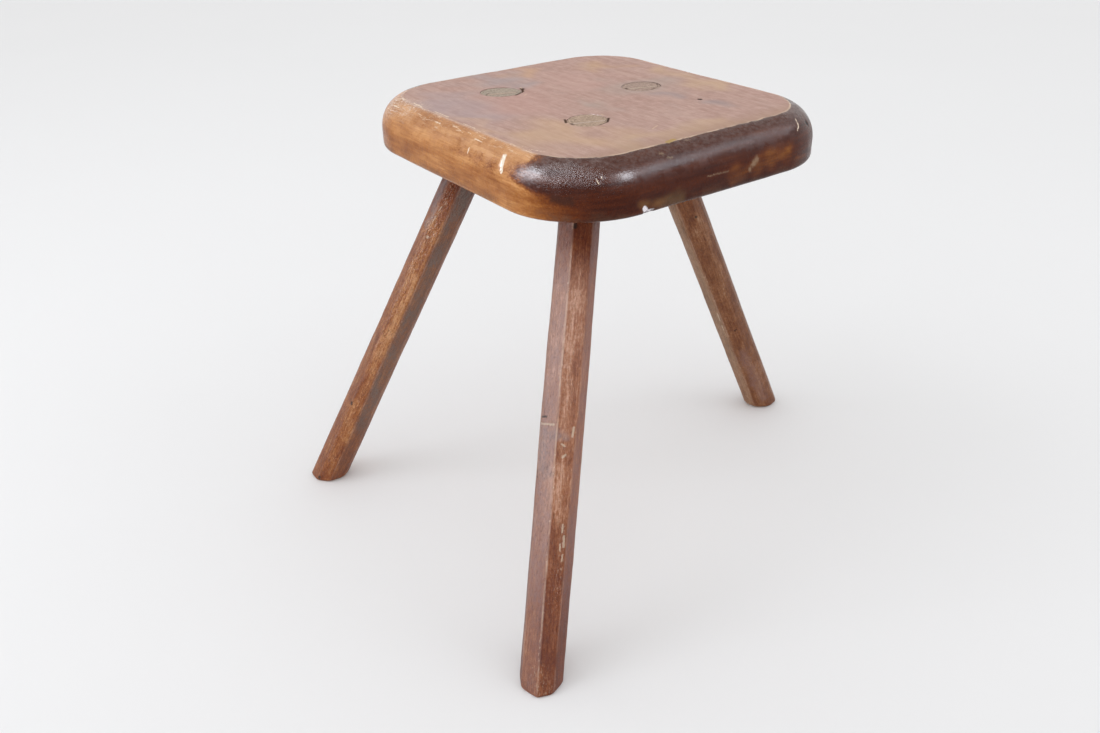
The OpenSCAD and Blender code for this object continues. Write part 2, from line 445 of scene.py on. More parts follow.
def rim_inset(local):
    """Distance in from the seat's rim, seen from above."""
    past = abs(local[:, :2]) - CORE
    return CORNER - np.linalg.norm(np.maximum(past, 0), axis=1) - np.minimum(past.max(1), 0)


def seat_outline():
    """Points round the seat's rim, anticlockwise, and the outward direction at each."""
    points, normals = [], []
    arc = round(CORNER * math.pi / 2 / RIM_STEP)
    for quarter in range(4):
        middle = CORE * [1 if quarter in (0, 3) else -1, 1 if quarter < 2 else -1]
        for i in range(arc + 1):
            a = math.pi / 2 * (quarter + i / arc)
            normal = np.array([math.cos(a), math.sin(a)])
            points.append(middle + normal * CORNER)
            normals.append(normal)
        length = 2 * CORE[quarter % 2]
        forward = np.array([-normals[-1][1], normals[-1][0]])
        count = round(length / RIM_STEP)
        for i in range(1, count):
            points.append(points[-1] + forward * length / count)
            normals.append(normals[-1])
    return np.array(points), np.array(normals)


def seat_profile():
    """(inset, height) pairs up the seat's edge, from the flat underside to the flat top."""
    profile = []
    for a in np.linspace(0, math.pi / 2, 5):
        profile.append((LOWER_EDGE * (1 - math.sin(a)), LOWER_EDGE * (1 - math.cos(a))))
    shoulder = SEAT_THICK - EDGE_DROP
    for height in np.linspace(LOWER_EDGE, shoulder, 9)[1:]:
        profile.append((0, height))
    wide = EDGE_INSET / (1 - math.cos(EDGE_TURN))
    tall = EDGE_DROP / math.sin(EDGE_TURN)
    for a in np.linspace(0, EDGE_TURN, 27)[1:]:
        profile.append((wide * (1 - math.cos(a)), shoulder + tall * math.sin(a)))
    return profile


def nail_loop(share, z):
    cos, sin = circle(AROUND_NAIL)
    flat = SEAT_MIDDLE[:2] + NAIL_HOLE + share * NAIL_RADIUS * np.c_[cos, sin * 1.1]
    return np.c_[flat, np.full(AROUND_NAIL, z)]


def seat_shape(points, normals):
    """Gives the even blank the waviness of hand work, and its nibbles, chips and raised grain."""
    local = points - SEAT_ORIGIN
    inset = rim_inset(local)
    height = local[:, 2]
    swell = 0.35 * wobble(local, 70, 1) + 0.18 * wobble(local, 22, 2)
    calm = 1 - 0.6 * smooth(EDGE_INSET - 2, EDGE_INSET + 4, inset)
    push = (swell - 0.1) * calm
    push += 0.05 * wobble(local / [1.6, 26, 1.6], 1, 3)
    for strokes, depth, reach in DENTS:
        push -= depth * np.clip(reach - off_strokes(local, strokes), 0, 1)
    moved = points + normals * push[:, None]
    arris = np.exp(-(((inset - EDGE_INSET) / 1.5) ** 2)) * smooth(36, 39, height)
    nibble = np.clip(wobble(local, 8, 6) + 0.4 * wobble(local, 2.5, 8), 0, 1)
    moved[:, 2] -= 0.8 * nibble * arris
    moved[:, 2] = np.minimum(moved[:, 2], SEAT_TOP - 0.05)
    return moved


def seat_cap(ring, top):
    """The flat face inside the ring, with the bores and, on top, the nail hole cut out."""
    z = ring[0, 2]
    loops = [ring] + [axis.ring(BORE, AROUND_BORE, z) for axis in AXES.values()]
    spare = []
    for axis in AXES.values():
        for grow, count in BORE_RINGS:
            spare.append(axis.ring(BORE + grow, count, z)[:, :2])
    if top:
        loops.append(nail_loop(1, z))
        spare.append(nail_loop(1.5, z)[:, :2])
    rim = EDGE_INSET if top else LOWER_EDGE

    def inside(points):
        good = rim_inset(points - SEAT_MIDDLE[:2]) > rim + CLEAR_OF_RIM
        for axis in AXES.values():
            good &= np.hypot(*axis.section(points - axis.centre(z))) > BORE + CLEAR_OF_BORE
        if top:
            from_nail = np.linalg.norm(points - SEAT_MIDDLE[:2] - NAIL_HOLE, axis=1)
            good &= from_nail > NAIL_RADIUS + CLEAR_OF_NAIL
        return good

    low, high = SEAT_MIDDLE[:2] - HALF, SEAT_MIDDLE[:2] + HALF
    spare.append(grid_inside(low, high, TOP_STEP if top else UNDER_STEP, inside))
    flat, triangles = fill(loops, np.concatenate(spare), up=top)
    return np.c_[flat, np.full(len(flat), z)], triangles


def make_seat():
    rim, outward = seat_outline()
    around = len(rim)
    rings = []
    for inset, height in seat_profile():
        flat = rim - outward * inset + SEAT_MIDDLE[:2]
        rings.append(np.c_[flat, np.full(around, SEAT_UNDER + height)])
    patches = Patches()
    patches.add(np.concatenate(rings), ring_faces(len(rings), around))
    patches.add(*seat_cap(rings[-1], top=True))
    patches.add(*seat_cap(rings[0], top=False))
    top_z, low_z = rings[-1][0, 2], rings[0][0, 2]
    for axis in AXES.values():
        wall = [axis.ring(BORE, AROUND_BORE, z) for z in np.linspace(top_z, low_z, 14)]
        patches.add(np.concatenate(wall), ring_faces(len(wall), AROUND_BORE))
    pit = [nail_loop(share, top_z - deep) for deep, share in NAIL_PIT]
    floor_of_pit = tuple(range((len(pit) - 1) * AROUND_NAIL, len(pit) * AROUND_NAIL))
    patches.add(np.concatenate(pit), ring_faces(len(pit), AROUND_NAIL) + [floor_of_pit])
    piece = patches.build("seat_plank", seat_shape)
    store_seat_zones(piece.data)
    return piece


def store_seat_zones(mesh):
    """Keeps on each vertex how much of every broad stain and zone it has."""
    local = mesh_points(mesh) / MM - SEAT_ORIGIN
    level = local * [1, 1, 0] + [0, 0, SEAT_THICK]
    tint = np.tile([0.45, 0.30, 0.24], (len(local), 1))
    cover = np.zeros(len(local))
    for stroke, colour, strength in STAINS:
        share = strength * spread(level, on_top([stroke]), 0.97, scale=28, shift=26)
        kept = cover * (1 - share)
        tint = (tint * kept[:, None] + np.outer(share, colour)) / np.maximum(kept + share, 1e-6)[:, None]
        cover = kept + share
    store(mesh, "stain", tint)
    corner = spread(local, WORN_CORNER, 0.8)
    strip = spread(local, WORN_STRIP, 0.8, shift=4)
    store(mesh, "worn", np.c_[cover, corner, strip])
    thin = spread(local, THIN_VARNISH, 0.8, shift=7)
    olive = spread(local, OLIVE, 0.8, shift=7)
    crazed = spread(local, CRAZED, 0.7)
    store(mesh, "glaze", np.c_[thin, olive, crazed])


# ---------------------------------------------------------------- legs and wedges

FACET_STEPS = 13
AROUND_LEG = SIDES * FACET_STEPS
KERF_LENGTH, KERF_WIDTH, KERF_DEPTH = 14.0, 1.45, 29
KERF_TAPER = 0.9
SLIP_LENGTH, SLIP_WIDTH, SLIP_DEPTH = 12.5, 1.36, 28
SLIP_TAPER = 0.8
SLIP_DROP = 0.3  # how far a wedge's end stands below the seat's top
TENON_STEP, SLIP_STEP = 1.0, 0.7
SQUARE = 20  # half the side of the square that holds a tenon's end
FOOT_EASE, EASED_HEIGHT = 0.13, 3.6
TOOL_MARK, RIPPLE, CROWN, SUNK = 0.2, 0.1, 0.6, 0.08  # of a facet, out from the flat


def leg_corners(leg, z):
    """Angle and radius of each arris of a leg at the height z."""
    share = np.clip(z / SEAT_UNDER, 0, 1)
    flats = np.interp(share, [0, 0.5, 1], leg["flats"])
    seed = leg["seed"]
    angles, radii = [], []
    for i in range(SIDES):
        at_foot, at_top = leg["turned"].get(i, (0, 0))
        drift = at_foot + (at_top - at_foot) * share
        drift += 3.2 * flutter(z / 85, i * 3.7, seed) + 0.9 * flutter(z / 26, i * 9.1, seed + 5)
        swell = 1 + 0.014 * flutter(z / 60, i * 5.3, seed + 9)
        angles.append(math.radians(45 * (i + 0.5) + leg["facets"] + drift))
        radii.append(flats / 2 / math.cos(math.pi / SIDES) * swell)
    return np.array(angles), np.array(radii)


def leg_section(leg, z):
    """Cross-section of a leg at the height z, as points (u, v)."""
    seed = leg["seed"]
    deep, wide = leg["rounded"]
    angles, radii = leg_corners(leg, z)
    corners = np.c_[radii * np.cos(angles), radii * np.sin(angles)]
    points = []
    for i in range(SIDES):
        a, b = corners[i], corners[(i + 1) % SIDES]
        width = np.linalg.norm(b - a)
        outward = np.array([b[1] - a[1], a[0] - b[0]]) / width
        for k in range(FACET_STEPS):
            f = k / FACET_STEPS
            from_arris = min(f, 1 - f) * width
            tool = TOOL_MARK * flutter(z / 24, i * 4.9 + f * 0.8, seed + 3)
            tool += RIPPLE * flutter(z / 7, i * 2.9 + f * 2.2, seed + 4)
            crown = CROWN * f * (1 - f)
            p = a + (b - a) * f + outward * (tool + crown - SUNK)
            worn = deep * (1 + 0.9 * flutter(z / 9, i * 6.1 + round(f), seed + 7))
            p = p * (1 - worn * math.exp(-((from_arris / wide) ** 2)) / np.linalg.norm(p))
            points.append(p)
    return np.array(points)


def leg_heights():
    foot = [0, 0.4, 0.9, 1.6, 2.4, 3.2]
    body = np.linspace(4, SEAT_UNDER - 1, round((SEAT_UNDER - 5) / 1.5))
    tenon = SEAT_UNDER + np.array([0, 1.5, 4, 10, 20, 28, 34, 37.5, 39, 39.7])
    return np.concatenate([foot, body, tenon])


def slot_frame(axis, z):
    """Middle of the kerf at the height z, and the level directions along and across it."""
    along = np.array([math.cos(WEDGE_TURN), math.sin(WEDGE_TURN)])
    across = np.array([-along[1], along[0]])
    return axis.centre(z) - across * WEDGE_OFFSET, along, across


def slot_loop(axis, half_length, half_width, z):
    """Level loop round the kerf: a long slot with rounded ends."""
    middle, along, across = slot_frame(axis, z)
    straight = half_length - half_width
    points = []
    for end in (1, -1):
        for a in np.linspace(-math.pi / 2, math.pi / 2, 9):
            reach = straight + half_width * math.cos(a)
            points.append(middle + end * (along * reach + across * half_width * math.sin(a)))
        for t in np.linspace(1, -1, 17)[1:-1]:
            points.append(middle + end * (along * straight * t + across * half_width))
    return np.c_[points, np.full(len(points), z)]


def in_slot(axis, points, z, half_length, half_width):
    middle, along, across = slot_frame(axis, z)
    gap = points - middle
    return (abs(gap @ across) < half_width) & (abs(gap @ along) < half_length)


def make_leg(name):
    leg, axis, marks = LEGS[name], AXES[name], leg_marks(name)
    rings = []
    for z in leg_heights():
        uv = leg_section(leg, z)
        uv *= 1 - FOOT_EASE * np.clip(1 - z / EASED_HEIGHT, 0, 1) ** 1.8
        if z >= SEAT_UNDER:
            r = np.linalg.norm(uv, axis=1)
            uv *= (np.minimum(r, TENON) / r)[:, None]
        rings.append(axis.level(uv[:, 0], uv[:, 1], z))
    patches = Patches()
    patches.add(np.concatenate(rings), ring_faces(len(rings), AROUND_LEG))

    sole = rings[0]
    middle = sole.mean(0)
    disc = np.concatenate([middle + (sole - middle) * share for share in (1, 0.8, 0.5, 0.2)])
    patches.add(disc, flipped(ring_faces(4, AROUND_LEG) + [tuple(range(3 * AROUND_LEG, 4 * AROUND_LEG))]))

    top = rings[-1]
    z = top[0, 2]

    def inside(points):
        clear = np.hypot(*axis.section(points - axis.centre(z))) < TENON - 1.4
        return clear & ~in_slot(axis, points, z, KERF_LENGTH + 0.7, KERF_WIDTH + 0.7)

    centre = axis.centre(z)
    spare = grid_inside(centre - SQUARE, centre + SQUARE, TENON_STEP, inside)
    flat, triangles = fill([top, slot_loop(axis, KERF_LENGTH, KERF_WIDTH, z)], spare)
    patches.add(np.c_[flat, np.full(len(flat), z)], triangles)
    walls = [
        slot_loop(axis, KERF_LENGTH, KERF_WIDTH - KERF_TAPER * share, z - KERF_DEPTH * share)
        for share in np.linspace(0, 1, 10)
    ]
    count = len(walls[0])
    kerf_floor = tuple(range((len(walls) - 1) * count, len(walls) * count))
    patches.add(np.concatenate(walls), ring_faces(len(walls), count) + [kerf_floor])

    def shape(points, normals):
        place = axis.along(points)
        skin = unrolled(leg, place)
        push = np.zeros(len(points))
        if marks["pits"]:
            zone = np.clip(1.4 - off_strokes(skin, marks["pits"]), 0, 1)
            push -= 0.7 * zone * np.clip(wobble(place, 2.6, leg["seed"] + 2) + 0.1, 0, 1)
        for kind, depth in (("pale", 0.2), ("dark", 0.35)):
            push -= depth * np.clip(1.6 - off_strokes(skin, marks[kind]), 0, 1)
        moved = points + normals * push[:, None]
        on_top = points[:, 2] > SEAT_TOP - 0.4
        rough = 0.16 * wobble(points, 2.2, leg["seed"]) + 0.12 * wobble(points, 7, leg["seed"] + 1)
        moved[on_top, 2] = points[on_top, 2] + rough[on_top] - 0.12
        moved[:, 2] = np.clip(moved[:, 2], 0, SEAT_TOP)
        return moved

    piece = patches.build("stick_" + name, shape)
    points = mesh_points(piece.data) / MM
    place = axis.along(points)
    store(piece.data, "stick", place)
    facet, rub = facet_values(leg, points[:, 2], place)
    store(piece.data, "facet", facet)
    skin = unrolled(leg, place)
    store(piece.data, "skin", skin)
    amber = spread(skin, marks["amber"], 0.9, scale=16)
    dusty = spread(skin, marks["dusty"], 0.7, scale=9, shift=4)
    flecked = spread(skin, marks["flecked"], 0.8, scale=7, shift=3)
    store(piece.data, "zones", np.c_[amber, dusty, flecked])
    store(piece.data, "rub", rub)
    return piece


def unrolled(leg, place):
    """Places on a leg's surface laid flat: millimetres round it from its facing side, and along it."""
    place = np.asarray(place, float)
    angle = np.arctan2(place[:, 1], place[:, 0]) - math.radians(leg["facing"])
    angle = (angle + math.pi) % (2 * math.pi) - math.pi
    return np.c_[SKIN * angle, place[:, 2], np.zeros(len(place))]


def leg_marks(name):
    """A leg's marks, laid flat as its surface is."""
    return {
        kind: [(*map(tuple, unrolled(LEGS[name], stroke[:2])), stroke[2]) for stroke in strokes]
        for kind, strokes in LEG_MARKS[name].items()
    }


def facet_values(leg, heights, place):
    """Paleness and greyness, which are partly painted sheen, and distance from the nearest arris at each
    place along a leg, and how pale that arris is rubbed."""
    steps = np.linspace(0, SEAT_TOP, 90)
    courses = np.array([leg_corners(leg, z)[0] for z in steps])
    arrises = np.stack([np.interp(heights, steps, course) for course in courses.T], axis=1)
    angle = np.arctan2(place[:, 1], place[:, 0])
    past = (angle[:, None] - arrises) % (2 * math.pi)
    before = (arrises - angle[:, None]) % (2 * math.pi)
    from_arris = np.linalg.norm(place[:, :2], axis=1) * np.sin(np.minimum(past.min(1), before.min(1)))
    tones = np.c_[leg["pale"], leg["grey_and_sheen"]]
    facet = past.argmin(1)
    at_start = past.min(1) < before.min(1)
    neighbour = (facet + np.where(at_start, -1, 1)) % SIDES
    share = 0.5 * smooth(1.5 * leg["rounded"][1], 0, from_arris)[:, None]
    rubs = np.array([leg["rubbed"].get(i, RUBBED) for i in range(SIDES)])
    rub = rubs[np.where(at_start, facet, (facet + 1) % SIDES)]
    return np.c_[tones[facet] * (1 - share) + tones[neighbour] * share, from_arris], rub


def make_slip(name):
    """The wedge driven into a leg's kerf."""
    axis = AXES[name]
    seed = LEGS[name]["seed"] + 50
    top = SEAT_TOP - SLIP_DROP
    walls = [
        slot_loop(axis, SLIP_LENGTH, SLIP_WIDTH - SLIP_TAPER * share, top - SLIP_DEPTH * share)
        for share in np.linspace(1, 0, 12)
    ]
    count = len(walls[0])
    patches = Patches()
    patches.add(np.concatenate(walls), ring_faces(len(walls), count))
    patches.add(walls[0], flipped([range(count)]))
    centre = axis.centre(top)
    spare = grid_inside(
        centre - SQUARE, centre + SQUARE, SLIP_STEP,
        lambda points: in_slot(axis, points, top, SLIP_LENGTH - 0.8, SLIP_WIDTH - 0.4),
    )
    flat, triangles = fill([walls[-1]], spare)
    patches.add(np.c_[flat, np.full(len(flat), top)], triangles)

    def shape(points, normals):
        moved = points.copy()
        on_top = points[:, 2] > top - 0.1
        moved[on_top, 2] += 0.2 * wobble(points[on_top], 2.0, seed)
        moved[:, 2] = np.minimum(moved[:, 2], SEAT_TOP)
        return moved

    piece = patches.build("wedge_slip_" + name, shape)
    store(piece.data, "stick", axis.along(mesh_points(piece.data) / MM))
    return piece


# ---------------------------------------------------------------- materials

MATT, SEAT_GLOSS, LEG_GLOSS = 0.0, 0.15, 0.2  # specular levels
SEAT_ABSORB = (1.0, 1.5, 2.2)  # how fast varnish swallows red, green and blue
LEG_ABSORB = (0.86, 1.48, 2.2)
GAP_COLOUR = (0.05, 0.03, 0.02)
SEAT_HEART, SEAT_RING = (22.0, -74.0), 5.2  # middle of the tree, across and up, and width of a year
TENON_HEART, TENON_RING = (-9, -6), 2.1


class Shader:
    """A material under construction. Most calls add a node and return its output socket."""

    def __init__(self, name):
        self.material = bpy.data.materials.new(name)
        self.material.use_nodes = True
        self.tree = self.material.node_tree
        self.tree.nodes.clear()
        self.surface = self.node("BsdfPrincipled")
        self.node("OutputMaterial", self.surface.outputs["BSDF"])

    def node(self, kind, *values, **settings):
        """Adds a node with these settings, and fills its inputs in their order."""
        node = self.tree.nodes.new("ShaderNode" + kind)
        for setting, value in settings.items():
            setattr(node, setting, value)
        for socket, value in zip(node.inputs, values):
            self.put(socket, value)
        return node

    def put(self, socket, value):
        if isinstance(value, bpy.types.NodeSocket):
            self.tree.links.new(value, socket)
        elif value is not None:
            socket.default_value = value

    def math(self, kind, a, b=None):
        return self.node("Math", a, b, operation=kind).outputs[0]

    def minus(self, a, b):
        return self.math("SUBTRACT", a, b)

    def product(self, first, *rest):
        for value in rest:
            first = self.math("MULTIPLY", first, value)
        return first

    def sum(self, first, *rest):
        for value in rest:
            first = self.math("ADD", first, value)
        return first

    def swing(self, value, reach):
        """A noise, which runs from 0 to 1, made to swing to either side of 0."""
        return self.product(self.minus(value, 0.5), reach)

    def vector(self, kind, a, b=None, scale=None):
        node = self.node("VectorMath", a, b, None, scale, operation=kind)
        return node.outputs["Value" if kind in ("LENGTH", "DISTANCE", "DOT_PRODUCT") else "Vector"]

    def split(self, vector):
        return self.node("SeparateXYZ", vector).outputs

    def join(self, x, y, z):
        return self.node("CombineXYZ", x, y, z).outputs[0]

    def channels(self, colour):
        """Red, green and blue of a colour."""
        return colour if isinstance(colour, tuple) else self.node("SeparateColor", colour).outputs

    def colour(self, red, green, blue):
        return self.node("CombineColor", red, green, blue).outputs[0]

    def attribute(self, name, output="Vector"):
        return self.node("Attribute", attribute_name=name).outputs[output]

    def noise(self, place, stretch=(1, 1, 1), detail=4.0, rough=0.55, output="Fac"):
        """Noise whose features are about 1/stretch millimetres across in each direction."""
        node = self.node("TexNoise", place)
        node.texture_mapping.scale = stretch
        for socket, value in (("Scale", 1), ("Detail", detail), ("Roughness", rough)):
            node.inputs[socket].default_value = value
        return node.outputs[output]

    def ragged(self, place, stretch, shift):
        """The place, shaken so that what is drawn there gets an uneven outline."""
        shake = self.join(*self.channels(self.noise(place, (stretch,) * 3, output="Color")))
        shake = self.vector("SCALE", self.vector("SUBTRACT", shake, (0.5, 0.5, 0.5)), scale=2 * shift)
        return self.vector("ADD", place, shake)

    def fade(self, value, low, high, to_low=0.0, to_high=1.0):
        """A smooth step from to_low, where the value is low, to to_high, where it is high."""
        node = self.node("MapRange", value, low, high, to_low, to_high, interpolation_type="SMOOTHSTEP")
        return node.outputs[0]

    def mix(self, share, a, b):
        node = self.node("Mix", share, data_type="RGBA")
        for socket, value in ((node.inputs[6], a), (node.inputs[7], b)):
            self.put(socket, value if isinstance(value, bpy.types.NodeSocket) else (*value, 1))
        return node.outputs[2]

    def strokes(self, place, strokes):
        """Distance from the nearest of the strokes, in half widths of that stroke."""
        nearest = None
        for start, end, width in strokes:
            along = Vector(end) - Vector(start)
            gap = self.vector("SUBTRACT", place, start)
            reach = self.vector("DOT_PRODUCT", gap, along / along.length_squared)
            share = self.node("Clamp", reach).outputs[0]
            near = self.vector("SCALE", tuple(along), scale=share)
            off = self.math("DIVIDE", self.vector("DISTANCE", gap, near), width)
            nearest = off if nearest is None else self.math("MINIMUM", nearest, off)
        return nearest

    def drawn(self, place, strokes, soft=0.3):
        """1 inside any of the strokes, fading to 0 at their edges."""
        return self.fade(self.strokes(place, strokes), 1 + soft, 1 - soft)

    def bump(self, height, distance, strength=1.0, normal=None):
        node = self.node("Bump", strength, distance)
        self.put(node.inputs["Height"], height)
        self.put(node.inputs["Normal"], normal)
        return node.outputs[0]

    def finish(self, colour, rough, normal, specular):
        names = ("Base Color", "Roughness", "Normal", "Specular IOR Level")
        for name, value in zip(names, (colour, rough, normal, specular)):
            self.put(self.surface.inputs[name], value)
        return self.material


def seat_place(s):
    """Object coordinates in millimetres from the middle of the seat's underside."""
    gap = s.vector("SUBTRACT", s.node("TexCoord").outputs["Object"], tuple(SEAT_ORIGIN * MM))
    return s.vector("SCALE", gap, scale=1 / MM)


class Grain:
    """The seat's grain, which runs along Y: each value is a socket from 0 to 1."""

    def __init__(self, s, p):
        x, _, z = s.split(p)
        self.fibre = s.noise(p, (0.9, 0.05, 0.9), detail=6, rough=0.66)
        self.coarse = s.noise(p, (0.14, 0.016, 0.2), detail=5, rough=0.6)
        self.pores = s.fade(s.noise(p, (1.7, 0.2, 1.7), detail=3, rough=0.7), 0.58, 0.72)
        self.mottle = s.noise(p, (0.05, 0.03, 0.05), detail=5, rough=0.6)
        self.cloudy = s.noise(p, (0.17, 0.13, 0.17), detail=6, rough=0.62)
        self.speck = s.noise(p, (0.8, 0.5, 0.8), detail=5, rough=0.65)
        bend = s.noise(p, (0.016, 0.005, 0.016), detail=3)
        heart = s.join(s.minus(x, SEAT_HEART[0]), 0.0, s.minus(z, SEAT_HEART[1]))
        ring = s.sum(s.vector("LENGTH", heart), s.product(bend, 26.0))
        year = s.math("FRACT", s.math("DIVIDE", ring, SEAT_RING))
        late = s.product(s.fade(year, 0.35, 0.93), s.fade(year, 1.0, 0.93))
        self.late = s.product(late, s.fade(s.noise(p, (0.02, 0.008, 0.05), detail=2), 0.35, 0.7))


def varnished(s, bare, thickness, absorb):
    """A bare wood colour seen through a varnish that swallows each of its colours at its own rate."""
    return s.colour(*(
        s.product(s.math("EXPONENT", s.product(thickness, -rate)), channel)
        for channel, rate in zip(s.channels(bare), absorb)
    ))


def seat_top_colour(s, p, grain):
    colour = s.mix(s.fade(grain.fibre, 0.3, 0.7), (0.426, 0.269, 0.229), (0.543, 0.379, 0.328))
    colour = s.mix(s.fade(grain.cloudy, 0.35, 0.65, 0.0, 0.55), colour, (0.375, 0.24, 0.203))
    colour = s.mix(s.fade(grain.coarse, 0.4, 0.64, 0.0, 0.35), colour, (0.571, 0.414, 0.356))
    colour = s.mix(s.product(grain.late, 0.12), colour, (0.336, 0.204, 0.165))
    colour = s.mix(s.product(grain.pores, 0.35), colour, (0.291, 0.18, 0.146))
    colour = s.mix(s.fade(grain.mottle, 0.5, 0.75, 0.0, 0.3), colour, (0.437, 0.33, 0.298))
    stained, _, _ = s.split(s.attribute("worn"))
    colour = s.mix(stained, colour, s.attribute("stain", "Color"))
    _, y, _ = s.split(p)
    near = s.product(s.fade(y, -108, -130), 0.45)
    return s.mix(near, colour, (0.37, 0.24, 0.171))


def seat_edge_colour(s, p, grain, turn):
    """Honey-coloured long sides, the thicker, darker varnish that gathers on the end grain, and a paler band
    along the top of the ends, partly dust and partly painted sheen.
    """
    _, y, z = s.split(p)
    streak = s.noise(p, (0.02, 0.02, 0.22), detail=7, rough=0.62)
    cloud = s.noise(p, (0.045, 0.045, 0.07), detail=5, rough=0.6)
    bare = s.mix(s.fade(grain.fibre, 0.3, 0.7), (0.49, 0.20, 0.062), (0.66, 0.335, 0.125))
    thin, olive, _ = s.split(s.attribute("glaze"))
    bare = s.mix(s.product(thin, 0.6), bare, (0.60, 0.39, 0.15))
    bare = s.mix(s.product(grain.late, 0.25), bare, (0.34, 0.13, 0.04))
    bare = s.mix(s.product(s.fade(z, 24, 36), 0.45), bare, (0.62, 0.35, 0.19))

    # where the dark end gives way to the pale side: further round the corner lower down
    low = s.fade(z, 26, 12)
    shake = s.sum(s.swing(cloud, 34), s.swing(grain.speck, 16))
    further = s.fade(y, -20, 40, 0, 40)
    threshold = s.sum(s.fade(z, 11, 26, 52, 8), s.fade(z, 30, 39, 0, 13), further)
    past = s.minus(s.sum(turn, shake), threshold)
    soft = s.sum(9, s.product(low, 14))
    is_end = s.fade(s.math("DIVIDE", past, soft), -1, 1)

    # thickness of the varnish
    side = s.sum(0.18, s.swing(streak, 1.2), s.swing(cloud, 1.1), s.product(low, 0.25))
    side = s.sum(side, s.swing(grain.speck, 0.4))
    side = s.sum(side, s.product(s.fade(turn, 10, 60), low, 1.25))
    side = s.sum(side, s.product(s.fade(y, 40, 110), 0.22))
    end = s.sum(2.3, s.swing(streak, 2.4), s.swing(grain.speck, 0.9))
    end = s.sum(end, s.product(s.fade(z, 16, 9), 0.3))
    end = s.minus(end, s.product(thin, 0.95))
    thickness = s.sum(s.product(side, s.minus(1.0, is_end)), s.product(end, is_end))
    colour = varnished(s, bare, s.math("MAXIMUM", thickness, 0.0), SEAT_ABSORB)

    colour = s.mix(s.product(olive, 0.35), colour, (0.16, 0.10, 0.04))
    grime = s.product(s.fade(z, 12, 2), s.fade(cloud, 0.42, 0.6), 0.4)
    colour = s.mix(s.product(grime, s.fade(is_end, 0, 1, 1, 0.4)), colour, (0.19, 0.11, 0.065))
    # paler band along the top of the ends: partly dust, partly painted sheen of the light from overhead
    dust = s.fade(s.noise(p, (0.3, 0.3, 0.5), detail=5, rough=0.65), 0.35, 0.7, 0.1, 0.6)
    dust = s.product(dust, s.fade(z, 30, 38), is_end, s.fade(turn, 88, 60, 1, 1.5))
    return s.mix(dust, colour, (0.165, 0.11, 0.098)), is_end


